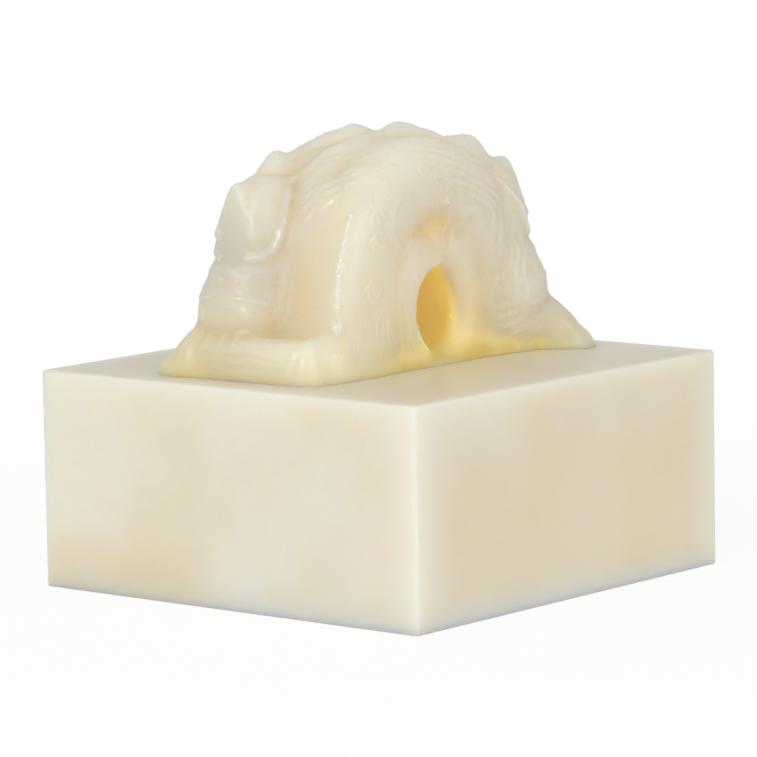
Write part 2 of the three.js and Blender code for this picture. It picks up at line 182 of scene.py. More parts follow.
def blade(stations, base, edge, steps=6):
    """Fin along stations [x, y, top, foot]: at each point an upright wedge with a rounded top, set square to
    the line in plan, whose half thickness is base at its foot and edge at its top."""
    line = smooth_line(stations, steps)
    run = unit(np.gradient(line[:, :2], axis=0))
    square = np.stack([-run[:, 1], run[:, 0]], -1)
    share = np.array([0, 0.35, 0.7, 0.93, 1, 0.93, 0.7, 0.35, 0])
    sign = np.array([-1, -1, -1, -0.7, 0, 0.7, 1, 1, 1])
    half = sign * (base + (edge - base) * share)
    plan = line[:, None, :2] + square[:, None] * half[:, None]
    height = line[:, None, 3] + (line[:, None, 2] - line[:, None, 3]) * share
    rings = np.concatenate([plan, height[..., None]], -1)
    ends = [rings[:1].mean(1, keepdims=True), rings[-1:].mean(1, keepdims=True)]
    caps = [np.repeat(end, rings.shape[1], 1) for end in ends]
    return np.concatenate([caps[0], rings, caps[1]])


def half_turn(grid):
    """The grid turned half way round Z."""
    return grid * np.array([-1.0, -1.0, 1.0])


def quads(rows, columns, start):
    """Faces of a grid whose columns close on themselves."""
    row = np.arange(rows - 1)[:, None]
    column = np.arange(columns)[None, :]
    after = (column + 1) % columns
    face = np.stack([row * columns + column, row * columns + after,
                     (row + 1) * columns + after, (row + 1) * columns + column], -1)
    return face.reshape(-1, 4) + start


def mesh_of(name, points, faces):
    """Mesh in metres, standing on the block's top, from points in millimetres and four-sided faces."""
    mesh = bpy.data.meshes.new(name)
    mesh.vertices.add(len(points))
    move_points(mesh, points)
    mesh.loops.add(faces.size)
    mesh.loops.foreach_set("vertex_index", faces.astype(np.int32).ravel())
    mesh.polygons.add(len(faces))
    mesh.polygons.foreach_set("loop_start", np.arange(0, faces.size, 4, dtype=np.int32))
    mesh.update(calc_edges=True)
    mesh.validate()
    return mesh


def shown(name, mesh):
    piece = bpy.data.objects.new(name, mesh)
    bpy.context.scene.collection.objects.link(piece)
    return piece


def from_grids(name, grids):
    """One object of several closed grids."""
    start = 0
    faces = []
    for grid in grids:
        faces.append(quads(grid.shape[0], grid.shape[1], start))
        start += grid.shape[0] * grid.shape[1]
    points = np.vstack([grid.reshape(-1, 3) for grid in grids])
    return shown(name, mesh_of(name, points, np.vstack(faces)))


def applied(piece):
    """Puts the result of a piece's modifiers in its mesh."""
    graph = bpy.context.evaluated_depsgraph_get()
    mesh = bpy.data.meshes.new_from_object(piece.evaluated_get(graph))
    piece.modifiers.clear()
    piece.data = mesh
    return piece


def fused(piece, voxel, rounds):
    """Joins overlapping closed surfaces into one skin, and rounds its creases."""
    skin = piece.modifiers.new("skin", "REMESH")
    skin.mode = "VOXEL"
    skin.voxel_size = voxel * MM
    ease = piece.modifiers.new("ease", "SMOOTH")
    ease.factor = 0.5
    ease.iterations = rounds
    return applied(piece)


def joined(name, pieces):
    """One object of several, which are removed."""
    for piece in pieces:
        piece.select_set(True)
    with bpy.context.temp_override(active_object=pieces[0], selected_editable_objects=pieces):
        bpy.ops.object.join()
    pieces[0].name = name
    return pieces[0]


def points_of(mesh):
    """Points in millimetres above the block's top."""
    flat = np.empty(len(mesh.vertices) * 3, np.float32)
    mesh.vertices.foreach_get("co", flat)
    return flat.reshape(-1, 3).astype(float) / MM - np.array([0, 0, DECK])


def normals_of(mesh):
    flat = np.empty(len(mesh.vertices) * 3, np.float32)
    mesh.vertex_normals.foreach_get("vector", flat)
    return flat.reshape(-1, 3).astype(float)


def move_points(mesh, points):
    place = (points + np.array([0, 0, DECK])) * MM
    mesh.vertices.foreach_set("co", place.astype(np.float32).ravel())
    mesh.update()


# The dragon's body, from its head at -Y to its rump at +Y

def trunk():
    a = TRUNK_HALF_WIDTH
    b = TRUNK_HALF_DEPTH
    return [limb([
        [TRUNK_X - 1.3, 4 - REACH, -SINK, a - 1.3, b - 2],
        [TRUNK_X - 1.3, 3 - REACH, 10, a - 1.3, b - 1.6],
        [TRUNK_X - 0.6, 4.6 - REACH, CROWN - 12, a - 0.6, b - 0.4],
        [TRUNK_X, -REACH / 2, CROWN - 3, a, b],
        [TRUNK_X, 0, CROWN, a, b],
        [TRUNK_X, REACH / 2, CROWN - 3.4, a, b - 0.4],
        [TRUNK_X - 0.6, REACH - 6, CROWN - 12, a - 0.8, b - 1.2],
        [TRUNK_X - 0.8, REACH - 6.6, 12, a - 1, b - 1.6],
        [TRUNK_X - 0.8, REACH - 6.6, -SINK, a - 1, b - 1.6],
    ], around=40, power=2.35)]


def saddle():
    """Stone that fills the groove between the two trunks: an arch that is the same both ways."""
    b = TRUNK_HALF_DEPTH
    half = [[0, -17, -SINK, 7, 9.4], [0, -17.2, 10, 7, 9.6], [0, -18, CROWN - 13, 7, b - 1],
            [0, -REACH / 2, CROWN - 3.4, 8, b + 0.6]]
    back = [[x, -y, z, wide, deep] for x, y, z, wide, deep in reversed(half)]
    return [limb(half + [[0, 0, CROWN, 8.5, b + 1]] + back, around=32)]


def skull():
    front = -REACH
    wide = 10.4
    return [limb([
        [HEAD_X - 0.4, front - 5, -SINK, wide - 1.6, 7],
        [HEAD_X - 0.8, front - 5.6, 7, wide - 1.4, 7.8],
        [HEAD_X - 1.3, front - 6, 12.5, wide - 0.4, 9.5],
        [HEAD_X - 1, front - 5, 17.5, wide - 1.6, 8.9],
        [HEAD_X, front - 3.4, 22.4, 8.3, 8.4],
        [HEAD_X, front - 2.8, BROW - 3.5, 8.2, 8.6],
        [HEAD_X + 0.4, front - 1.6, BROW + 1.4, 6.4, 6.8],
    ], around=40, power=2.2), limb([
        [HEAD_X - 6.8, front - 4.8, 29, 1.4, 1.6],
        [HEAD_X - 4.4, front - 8.2, 30.4, 1.5, 1.7],
        [HEAD_X, front - 10, 29.4, 1.4, 1.5],
        [HEAD_X + 4.4, front - 8.8, 30.4, 1.5, 1.7],
        [HEAD_X + 7.2, front - 5.4, 29, 1.4, 1.6],
    ], side=(0, 0, 1)), ball([HEAD_X, front - 4.6, BROW + 0.6], [6.4, 5.6, 5.8]),
        ball([HEAD_X + 1.2, front - 5.4, 33.6], [5.6, 4.4, 5.6])]


def mane_mass():
    """The thick of the mane, swept from the cheek up over the saddle to the crown."""
    return [limb([
        [-3, 3 - REACH, 24, 3.4, 3.6],
        [-1, 3.6 - REACH, 30.5, 4.4, 4],
        [2, 8 - REACH, 37.5, 5, 4],
        [5, 16 - REACH, 42.6, 5, 3.4],
        [7, -2, 45, 4, 2],
    ], steps=6)]


def hollow_floor():
    """Stone at the bottom of the hollow between the head and the other dragon's haunch."""
    return [limb([
        [3, -REACH, -SINK, 10, 9.4],
        [3, -REACH, 6, 9.6, 9.2],
        [3, -REACH, 11, 9, 6.8],
        [3, 0.2 - REACH, 18, 8.6, 5.2],
        [3.4, 1.6 - REACH, 29, 7.6, 4.8],
        [4.4, 5.6 - REACH, 36, 6.4, 4.6],
    ], around=40, power=3.2, dome=3)]


def haunch():
    x = 3.6 - FLANK
    y = REACH - 3.5
    return [limb([
        [x + 0.6, y - 5.4, CROWN - 3, 4, 6.6],
        [x + 0.2, y - 1.6, CROWN - 10, 4, 8.8],
        [x + 0.2, y, 17, 4.1, 10.4],
        [x + 0.9, y, 9, 4.9, 10.6],
        [x + 0.9, y + 0.2, 2, 4.9, 10.8],
        [x + 0.9, y + 0.2, -SINK, 4.9, 10.8],
    ], around=32, power=2.3)]


def forelegs():
    """The right foreleg out along the flank, and the left one as a low slab across the front."""
    front = -REACH
    return [
        ball([6 - FLANK, front + 6.4, 13.6], [6.2, 8.8, 13]),
        limb([
            [3.8 - FLANK, front + 4, 7, 4, 5],
            [2.3 - FLANK, front - 4, 5.6, 4.6, 5.4],
            [0.8 - FLANK, front - 11, 5.6, 5, 5.6],
        ]),
        ball([-FLANK, front - 12.6, 1], [6.4, 6, 8.4]),
        ball([-4 - FLANK, front - 14.4, 0], [5.6, 4.8, 4.4]),
        limb([
            [1 - FLANK, front - 12.6, 0.8, 4.9, 7.2],
            [0, front - 12.9, 1, 4.7, 7.5],
            [FLANK - 4.6, front - 11.6, 1.2, 5, 7.6],
        ], side=(0, 1, 0), power=3, dome=3.6),
        ball([FLANK - 4.6, front - 6, 2], [5.2, 8, 8]),
    ]


def web():
    """The stone under the arch, flush with the flanks: a superellipse section carried along X."""
    return [limb([
        [2.4 - FLANK, 0, 10, 23, 26],
        [FLANK - 2.4, 0, 10, 23, 26],
    ], side=(0, 1, 0), steps=4, around=40, power=2.2, dome=2.3)]


def body_grids():
    one = trunk() + mane_mass() + hollow_floor() + haunch() + forelegs()
    rear = [half_turn(grid) for grid in one] + [half_turn(grid) + REAR_HEAD for grid in skull()]
    return one + skull() + rear + saddle() + web()


# What is carved on the body

def crest(plates):
    """Stepped fin on the head, neck and back, ending in the lobe on the crown."""
    line = HEAD_X - 0.6
    stations = [[line, y, top, foot] for y, top, foot in plates]
    stations += [
        [TRUNK_X + 1.5, -9.5, CROWN + 11.6, CROWN + 4],
        [-3.6, -6.6, CROWN + 13.1, CROWN + 5],
        [-2.4, -4.8, CROWN + 13.7, CROWN + 5.5],
        [-1.8, -2.4, CROWN + 13.3, CROWN + 5.8],
        [-1.6, 1.6, CROWN + 11.6, CROWN + 5.8],
    ]
    return [blade(stations, 5.2, 1.5)]


FRONT_PLATES = [
    (-34.8, 32.4, 28), (-34.2, 38.2, 29), (-33.2, 39.6, 29.5), (-28, 39.9, 32),
    (-22.6, 44.2, 35), (-20.8, 45, 36), (-14.6, 44.6, 38.5),
]
REAR_PLATES = [
    (-32.6, 33.6, 28), (-31.6, 39.2, 29), (-30.2, 40.8, 29.5), (-25.2, 41.2, 32),
    (-21.2, 44.8, 35), (-18.4, 46.2, 36), (-10, 46.6, 38.5),
]


class Skin:
    """The body's surface in millimetres, to lay carving on."""

    def __init__(self, piece):
        faces = [tuple(polygon.vertices) for polygon in piece.data.polygons]
        self.tree = BVHTree.FromPolygons(points_of(piece.data).tolist(), faces)

    def laid(self, points, lift=0.0):
        """The nearest places on the surface, raised along its normal."""
        found = [self.tree.find_nearest(Vector(point)) for point in points]
        place = np.array([hit[0] for hit in found])
        normal = np.array([hit[1] for hit in found])
        return place + lift * normal

    def strand(self, stations, radius, lift=-0.3, tip=0.4, steps=5):
        """Raised line: a round section on the laid line, thick in the middle and thin at both ends."""
        line = self.laid(smooth_line(stations, steps), lift * radius)
        line[1:-1] = (line[:-2] + 2 * line[1:-1] + line[2:]) / 4
        share = np.linspace(0, 1, len(line))
        thick = 0.9 * radius * (tip + (1 - tip) * np.sin(np.pi * share) ** 0.6)
        slope = np.abs(unit(np.gradient(line, axis=0))).max(0)
        return sweep(line, thick, thick, side=np.eye(3)[slope.argmin()], around=10)

    def curl(self, centre, radius, turns=1.6, start=0.0, thick=0.6, across=(0, 1, 0), up=(0, 0, 1)):
        """Spiral strand on the plane of across and up: distance radius (1 - t)^0.8 at angle
        start + 2 pi turns t."""
        t = np.linspace(0, 1, int(14 * abs(turns)) + 4)[:, None]
        angle = math.radians(start) + 2 * math.pi * turns * t
        away = radius * (1 - t) ** 0.8
        plane = np.cos(angle) * np.asarray(across, float) + np.sin(angle) * np.asarray(up, float)
        return self.strand(np.asarray(centre, float) + away * plane, thick, tip=0.7, steps=2)

    def beads(self, stations, count, radius):
        """Row of small balls, evenly spaced along the laid line."""
        line = smooth_line(stations, 12)
        length = np.concatenate([[0], np.cumsum(np.linalg.norm(np.diff(line, axis=0), axis=1))])
        at = np.linspace(0, length[-1], count)
        places = np.stack([np.interp(at, length, line[:, axis]) for axis in range(3)], -1)
        return [ball(place, [radius] * 3, 9, 12) for place in self.laid(places, 0.4 * radius)]


def both_sides(points):
    """The points, and their mirror image across the middle of the front dragon's head."""
    points = np.asarray(points, float)
    image = points.copy()
    image[..., 0] = 2 * HEAD_X - image[..., 0]
    return points, image


def face(skin):
    """Low nose, nostrils and lips, eyes under arched brows, horns, whiskers and the cheek's ridge."""
    front = -REACH
    grids = [ball([HEAD_X, front - 11, 20.6], [3.4, 2.4, 2.4])]
    lip = [[-8.9, -38.6, 16.8], [-5.4, -38, 16.4], [-2.6, -35.4, 15.6], [-0.8, -31.6, 14.4],
           [-0.6, -28, 13.4]]
    ridge = [[-4.9, -23, 37.8], [-3.6, -25.4, 35.5], [-2.5, -27.5, 32.3], [-1.6, -29.3, 29.5],
             [-1.7, -30.7, 26.5], [-2.9, -32.9, 24.8], [-5.7, -34.9, 24.1]]
    brows = [[[-7.6, -36.2, 31.2], [-6, -35.4, 33.4], [-3.6, -33.4, 33.8], [-2, -30.4, 32]],
             [[-7, -36.2, 30], [-5.6, -35.2, 31.7], [-3.6, -33.4, 31.8], [-2.6, -31.6, 30.4]]]
    horn = [[-6, -28.4, 35.4], [-4.6, -24.4, 39.4], [-3.6, -18, 42.8], [-3.6, -11, 44.8]]
    whiskers = [[[-6.6 + lift * 0.6, -37, 19 - lift * 0.1], [-5 + lift * 0.6, -35.4, 21],
                 [-2.9 + lift * 0.3, -32, 21.6 - lift * 0.6], [-1.9, -28.6, 20.4 - lift]]
                for lift in (0.0, 1.5, 3.0)]
    lines = [(lip, 0.7), (ridge, 0.85), (horn, 0.8)]
    lines += [(brow, 0.7) for brow in brows] + [(whisker, 0.55) for whisker in whiskers]
    for line, radius in lines:
        for points in both_sides(line):
            grids.append(skin.strand(points, radius, 0.2 if line is ridge else -0.35, 0.5))
    for place in skin.laid(both_sides([-4.6, -34.6, 28.9]), -0.8):
        grids.append(ball(place, [1.9, 1.9, 1.7]))
    nostril = [HEAD_X + 1.8, -37, 19.8]
    bead = [-5.6, -35.6, 24.3]
    for centre, lift, radii in ((nostril, -0.4, [1, 1, 0.9]), (bead, 0, [0.8, 0.8, 0.7])):
        grids += [ball(place, radii, 12, 16) for place in skin.laid(both_sides(centre), lift)]
    return grids


def cheek(skin):
    """Curls on the sides of the muzzle, and the locks that hang behind the jaw."""
    grids = []
    curls = [([-1.7, -32.4, 16.6], 1.9, 200), ([-2.2, -29.2, 12.4], 1.8, 60),
             ([-4.4, -36.8, 13.2], 1.3, 120)]
    for centre, radius, start in curls:
        for mirror, side in ((0, 1), (1, -1)):
            across = (0.45 * side, 0.9, 0)
            grids.append(skin.curl(both_sides(centre)[mirror], radius, 1.7, start, across=across))
    for step in range(4):
        y = -28.6 + 1.5 * step
        lock = [[-2.4, y + 0.4, 25.5 - step], [-2.6, y - 0.5, 21], [-2.6, y + 0.5, 16],
                [-2.8, y - 0.4, 11.5], [-2.8, y + 0.2, 8.6]]
        for points in both_sides(lock):
            grids.append(skin.strand(points, 0.68))
    for step in range(3):
        beard = [[HEAD_X - 3 + 3 * step, -36.6, 10.4], [HEAD_X - 3.4 + 3.4 * step, -38.2, 8.6],
                 [HEAD_X - 3.8 + 3.8 * step, -40, 7.6], [HEAD_X - 3 + 3 * step, -41.4, 5.6]]
        grids.append(skin.strand(beard, 0.75))
    return grids


def mane(skin):
    """Short strands that sweep over the saddle, and the long locks along the neck."""
    outer = np.array([[0.2, -23.9, 32.1], [2.2, -22.8, 35.2], [4.5, -21.2, 37.6], [6.8, -19.6, 39.8],
                      [9, -18.3, 41.2], [11.4, -16.6, 42], [13.4, -15, 42.2]])
    inner = np.array([[2.6, -24.3, 29], [3.9, -24, 32.3], [6.6, -23.4, 35.5], [8.9, -21.8, 37.9],
                      [11.3, -20, 39.5], [13.7, -17.5, 40.3], [15.5, -14.4, 39.9]])
    grids = []
    for step, share in enumerate(np.linspace(-0.35, 1.2, 6)):
        arc = outer + share * (inner - outer)
        for first in (step % 2, 3 + step % 2):
            grids.append(skin.strand(arc[first:first + 3], 0.7, -0.25))
    for step in range(3):
        lock = [[-2.4, -20.6 + step, 38.4 - step], [-1.6, -17.6, 40.8 - step],
                [-1.2 + 0.6 * step, -13, 43.4 - step], [0.6 + step, -9.6, 44.8]]
        grids.append(skin.strand(lock, 0.8, -0.1))
    for step in range(5):
        drop = 1.7 * step
        lock = [[15.6, 21.5 - 0.8 * step, 37.6 - 1.4 * drop], [16.4, 16, 38.6 - drop],
                [16, 10, 41.4 - drop], [15.4, 4 - step, 43.9 - drop], [14, -2 - 1.5 * step, 45.2 - drop]]
        grids.append(skin.strand(lock[: 5 - step // 2], 0.8, -0.1))
    return grids


def thigh(skin):
    """Beads down the edge of the haunch, and the leaf behind them."""
    edge = [[13.4, -24.4, 33], [13.8, -26.2, 29.8], [14, -28, 26], [14, -29.2, 22.6], [14.2, -30, 18.6],
            [14.6, -30.6, 15]]
    grids = skin.beads(edge, 13, 0.78)
    grids.append(ball(skin.laid([[14.6, -30.8, 10.9]], 0.3)[0], [1.3, 1.3, 1.4], 12, 16))
    turn = np.linspace(0, 2 * math.pi, 20)
    leaf = np.stack([np.full(20, 16.6), -19 + 2.1 * np.cos(turn), 30.4 + 3.5 * np.sin(turn)], -1)
    grids.append(skin.strand(leaf, 0.55, tip=0.8, steps=2))
    grids.append(skin.strand([[16.6, -19, 33], [16.8, -19.2, 30.6], [16.6, -18.8, 28]], 0.7))
    grids.append(skin.curl([17, -21.6, 17.4], 2.3, 1.5, 90, 0.66))
    for step in range(3):
        flame = [[17, -21.8 + 1.6 * step, 14.6], [17, -20.6 + 1.7 * step, 12],
                 [17, -21.4 + 1.8 * step, 8.6], [17, -19.8 + 2 * step, 5.6]]
        grids.append(skin.strand(flame, 0.6))
    return grids


def bore_share(points):
    """Distance from the cord hole's axis as a share of the hole's own size that way."""
    x, y, z = points.T
    return np.hypot(y / HOLE_HALF_WIDTH, (z - HOLE_MIDDLE) / HOLE_HALF_HEIGHT)


def round_hole(share, turn):
    """Places on the side at angles round the cord hole, and at shares of the hole's size."""
    return np.stack([16.8 + 0 * turn, share * HOLE_HALF_WIDTH * np.cos(turn) - 0.4,
                     HOLE_MIDDLE + share * HOLE_HALF_HEIGHT * np.sin(turn)], -1)


def hole_rim(skin):
    """Two lines round the outer side of the cord hole, with short strokes between them."""
    grids = []
    for share in (1.3, 1.68):
        ring = round_hole(share, np.radians(np.linspace(98, 252, 16)))
        grids.append(skin.strand(ring, 0.45, steps=2))
    share = np.array([1.38, 1.5, 1.6])
    for turn in np.radians(np.arange(104, 250, 8)):
        stroke = round_hole(share, turn + (share - 1.4) * 0.3)
        grids.append(skin.strand(stroke, 0.36, steps=3))
    return grids


def tail_tuft(skin):
    """The tail's tuft over the hole: four curls in a row, with flames above and below."""
    grids = []
    row = [(-7.4, 25, 1.9), (-3, 25.4, 2.2), (1.6, 25.4, 2.1), (5.8, 24.6, 1.8)]
    for step, (y, z, radius) in enumerate(row):
        turns = 1.6 if step % 2 else -1.6
        grids.append(skin.curl([16.4, y, z], radius, turns, 60 * step, 0.62))
    for step in range(5):
        y = -9.4 + 4.1 * step
        grids.append(skin.strand([[16.4, y, 27.2], [16.4, y + 1.6, 29.2], [16.6, y + 1.2, 31.6]], 0.62))
    tail = [[16.4, -9.6, 23.4], [16.6, -13, 25.6], [16.6, -15.4, 29], [16.4, -14.6, 33], [16, -11.4, 36]]
    grids.append(skin.strand(tail, 1.0, -0.4, 0.4))
    return grids


def shoulder(skin):
    """Lines behind the cheek, and the flames and curls on the shoulder."""
    grids = [
        skin.strand([[16.9, 7.1, 37.1], [16.9, 7.3, 34.3], [16.9, 8.1, 32.2], [16.9, 10.8, 31],
                     [16.9, 13, 31.2], [16.9, 14.3, 33.2]], 0.7),
        skin.strand([[16.9, 17.5, 30.7], [16.9, 17.6, 27.1], [16.9, 16.9, 24.4], [16.7, 16.3, 21.7]], 0.66),
        skin.strand([[16.9, 20, 31], [17, 20.4, 27.4], [17, 19.8, 23.6], [17, 18.8, 20.6]], 0.66),
        skin.strand([[16.8, 4, 39.4], [16.9, 3.6, 37.4], [16.9, 3.2, 35]], 0.5),
        ball([16.9, 2.6, 33.6], [0.8, 0.8, 0.8], 9, 12),
        skin.curl([17.3, 19.4, 14.8], 2.5, 1.6, 200, 0.66),
        skin.curl([17.6, 24.4, 15.4], 1.8, 1.4, 20, 0.6, across=(-0.4, 0.9, 0)),
    ]
    for step in range(4):
        flame = [[17, 14.4 + 1.2 * step, 11 - 1.9 * step], [17.2, 18.6 + step, 9.8 - 2 * step],
                 [17.6, 22.6 + step, 10.4 - 1.8 * step], [18, 26.6 + step, 9 - 1.7 * step]]
        grids.append(skin.strand(flame, 0.6))
    return grids


def toes(skin, wrist, angles, reach):
    """Toes fanned round a paw as low ridges, each bending down to its claw."""
    grids = []
    for angle in angles:
        out = np.array([math.cos(angle), math.sin(angle)])
        line = [[*(np.array(wrist) + out * reach * share), height]
                for share, height in ((0.3, 7), (0.7, 5.6), (0.95, 3.4), (1, 1.2))]
        grids.append(skin.strand(line, 1.5, -0.6, 0.6))
    return grids


def paws(skin):
    """Toes of both forepaws, curls over the left one, and the long waves of fur along the legs."""
    grids = toes(skin, [-FLANK, -REACH - 12], [3.1, 3.55, 4, 4.4, 4.8], 9.4)
    grids += toes(skin, [FLANK - 5.4, -REACH - 12], [4.5, 5.1, 5.7], 6)
    grids.append(skin.curl([FLANK - 5, -35, 9.2], 2.2, 1.6, 30, 0.66, (1, 0, 0), (0, 1, 0)))
    grids.append(skin.curl([FLANK, -33, 5], 1.9, 1.5, 120, 0.62))
    x = np.linspace(-14, 8.5, 12)
    waves = [(-41.4, 2.2, 0, 1), (-41.6, 4.2, 0, 1), (-41.4, 6.2, 0, 1), (-40, 8, 1, 0.4),
             (-37, 9.2, 1, 0.4)]
    for level, (y, z, out, up) in enumerate(waves):
        wave = 0.5 * np.sin(x * 0.62 + 1.3 * level)
        grids.append(skin.strand(np.stack([x, y + out * wave, z + up * wave], -1), 0.5, tip=0.6, steps=3))
    return grids


def carved_grids(skin):
    head = face(skin) + cheek(skin)
    rest = mane(skin) + thigh(skin) + hole_rim(skin) + tail_tuft(skin) + shoulder(skin) + paws(skin)
    rear = [half_turn(grid) + REAR_HEAD for grid in head]
    rear += [half_turn(grid) for grid in rest + crest(REAR_PLATES)]
    return head + rest + crest(FRONT_PLATES) + rear


def cut_cord_hole(piece):
    """Bores the oval hole along X."""
    angle = np.linspace(0, 2 * math.pi, 64, endpoint=False)
    ring = np.stack([0 * angle, HOLE_HALF_WIDTH * np.cos(angle),
                     HOLE_MIDDLE + HOLE_HALF_HEIGHT * np.sin(angle)], -1)
    middle = np.array([0, 0, HOLE_MIDDLE])
    grid = np.stack([middle + 0 * ring + [-40, 0, 0], ring + [-40, 0, 0], ring + [40, 0, 0],
                     middle + 0 * ring + [40, 0, 0]])
    cutter = from_grids("hole_cutter", [grid])
    cut = piece.modifiers.new("hole", "BOOLEAN")
    cut.operation = "DIFFERENCE"
    cut.solver = "EXACT"
    cut.object = cutter
    applied(piece)
    bpy.data.objects.remove(cutter)
    return piece


def scales(points):
    """Height of the scales on the trunks: rows of tilted plates along the arch, each row half a scale aside
    of the last, with their free edges on parabolas. It fades out off the back and flanks."""
    x, y, z = points.T
    rise = z - HOLE_MIDDLE
    far = np.hypot(y, rise)
    along = np.arctan2(y, rise) * REACH / SCALE_LENGTH
    around = np.arctan2(far - REACH, np.abs(x) - TRUNK_HALF_WIDTH) * SCALE_BEND / SCALE_WIDTH
    row = np.floor(along)
    best = np.full(len(x), 9.0)
    for index in (row, row + 1, row - 1):
        off = (around + 0.5 * np.mod(index, 2)) % 1 - 0.5
        edge = index + 0.75 * (1 - 4 * off**2)
        best = np.where(edge >= along, np.minimum(best, edge - along), best)
    height = -0.9 * np.exp(-(best / 0.16) ** 2) - 0.35 * np.clip(best, 0, 1.5)
    in_place = np.clip((far - 17.5) / 3, 0, 1) * np.clip((z - 24) / 5, 0, 1)
    return SCALE_HEIGHT * height * in_place * np.clip((25 - np.abs(y)) / 5, 0, 1)


def hair(points, normals):
    """Height of the fine waved lines in patches over the stone: upright on the sides, level on the front and
    back, and along the bodies on top."""
    x, y, z = points.T
    share = normals**2
    upright = np.sin(HAIR_RATE * (y + 1.1 * np.sin(0.55 * z + 0.3 * y)
                                  + 0.5 * np.sin(1.3 * z - 0.7 * y)))
    level = np.sin(HAIR_RATE * (z + 0.9 * np.sin(0.5 * x + 0.2 * z) + 0.4 * np.sin(1.2 * x)))
    along = np.sin(HAIR_RATE * (x + 1.2 * np.sin(0.4 * y + 0.3 * x) + 0.4 * np.sin(1.1 * y)))
    patches = 0.45 + np.sin(0.67 * x + 0.51 * y + 0.3 * z) * np.sin(0.59 * z + 0.43 * x - 0.47 * y)
    lines = share[:, 0] * upright + 0.4 * share[:, 1] * level + share[:, 2] * along
    return HAIR_HEIGHT * np.clip(patches, 0, 1) * lines


def ease_hole(points):
    """How far the side falls away inward: at the rim of the cord hole towards the shoulder, where the hole
    opens like a bell, and in the shallow hollow over the hole."""
    x, y, z = points.T
    side = np.sign(x)
    bore = bore_share(points)
    near = np.clip((1.7 - bore) / 0.7, 0, 1) ** 2
    turned = side * y / HOLE_HALF_WIDTH - 0.25 * (z - HOLE_MIDDLE) / HOLE_HALF_HEIGHT
    turned /= np.maximum(bore, 0.2)
    outer = np.clip((np.abs(x) - 9) / 5, 0, 1)
    bell = 3.6 * near * np.clip((turned + 0.3) / 0.9, 0, 1) * np.clip(z / 1.5, 0, 1)
    return -side * outer * (bell + 1.3 * spot(points, [16.8, -0.5, 28.4], [14, 7, 5]))


def neighbours_mean(mesh, values, rounds):
    """Values averaged with those of the joined points, again and again, as whole arrays."""
    edges = np.empty(len(mesh.edges) * 2, np.int32)
    mesh.edges.foreach_get("vertices", edges)
    one, other = edges.reshape(-1, 2).T
    count = np.bincount(one, minlength=len(values)) + np.bincount(other, minlength=len(values))
    for _ in range(rounds):
        total = [np.bincount(one, column[other], len(values))
                 + np.bincount(other, column[one], len(values)) for column in values.T]
        values = (values + np.stack(total, -1) / count[:, None]) / 2
    return values


def spot(points, centre, radii):
    """Soft round patch, 1 at its centre, and the same on the other dragon."""
    far = [(((points - np.array(centre) * sign) / np.array(radii)) ** 2).sum(1)
           for sign in ([1, 1, 1], [-1, -1, 1])]
    return np.exp(-far[0]) + np.exp(-far[1])


def spots(points, table):
    """Sum of soft patches, each an amount, a centre and radii."""
    return sum(amount * spot(points, centre, radii) for amount, centre, radii in table)


def eased(mesh, centre, radii, rounds):
    """Softens a round patch on each dragon, where points move towards the mean of the surface there."""
    points = points_of(mesh)
    share = np.clip(1.5 * spot(points, centre, radii), 0, 1)[:, None]
    move_points(mesh, points + share * (neighbours_mean(mesh, points, rounds) - points))


# Painted warm shade, polish, painted grey shade and light, and painted glow on the knob, as patches

# Patches of painted warm shade: amount, centre and radii
WARM_SHADE_SPOTS = [
    (0.5, [16.5, -0.5, 27.4], [9, 7, 5.4]),
    (0.25, [16.5, 11, 9], [7, 7, 8]),
    (0.4, [16.5, 2, 5], [9, 13, 6]),
    (0.6, [17, 17, 1], [9, 16, 4]),
    (0.2, [16.5, 12, 16], [6, 7, 9]),
    (0.2, [5.9, -29, 14], [3.6, 7, 13]),
    (0.14, [9, -24, 30], [4, 7, 7]),
    (0.12, [-1, -32, 10], [3, 5, 6]),
    (0.2, [16.8, -13, 8], [6, 10, 12]),
    (0.45, [17, -14, 0.5], [6, 12, 3.6]),
    (0.32, [-18, -39, 2], [8, 8, 9]),
    (0.15, [-9, -37, 12], [10, 8, 8]),
    (0.22, [-2, -38, 3], [16, 8, 7]),
]
DULL_SPOTS = [
    (1.3, [-9.5, -36, 26], [11, 11, 22]),
    (1.3, [-21, -41, 4], [9, 9, 7]),
    (1.3, [13.5, -41, 4], [7, 7, 6]),
    (1.2, [8, -20, 38], [11, 8, 7]),
    (-1.6, [-2.6, -29.5, 28.5], [2.4, 4, 4.5]),
    (-1.6, [-5.6, -35.6, 24.3], [1.4, 1.4, 1.4]),
]
# Painted shade on the heads, and painted light on the flank
SHADE_SPOTS = [(0.6, [-9, -35, 22], [11, 9, 18]), (-0.5, [17, -6, 14], [6, 15, 16])]
# Patches of painted glow
LIT_SPOTS = [
    (0.7, [18, -31, 3], [9, 12, 7]),
    (0.34, [6.5, -28, 20], [5, 7, 14]),
    (0.2, [17, -20, 16], [6, 8, 14]),
    (0.25, [8, -40, 5], [9, 6, 6]),
]


def warm_shade_of(points, broad, fine):
    """Painted warm shade: how far a point lies under the broad and the fine mean of the surface round it,
    with the cord hole, the foot of the knob and the hollows between the limbs."""
    out = np.abs(points[:, 0])
    inside = np.clip((1.16 - bore_share(points)) / 0.14, 0, 1) * np.clip((17.2 - out) / 1.2, 0, 1)
    warm_shade = np.clip(broad * 0.2, 0, 0.16) + np.clip(fine * 0.8, 0, 0.08)
    warm_shade += inside * (0.5 + 0.2 * np.clip((16 - out) / 8, 0, 1))
    warm_shade += 0.3 * np.exp(-np.clip(points[:, 2], 0, 60) / 3.2)
    return np.clip(warm_shade + spots(points, WARM_SHADE_SPOTS), 0, 1)


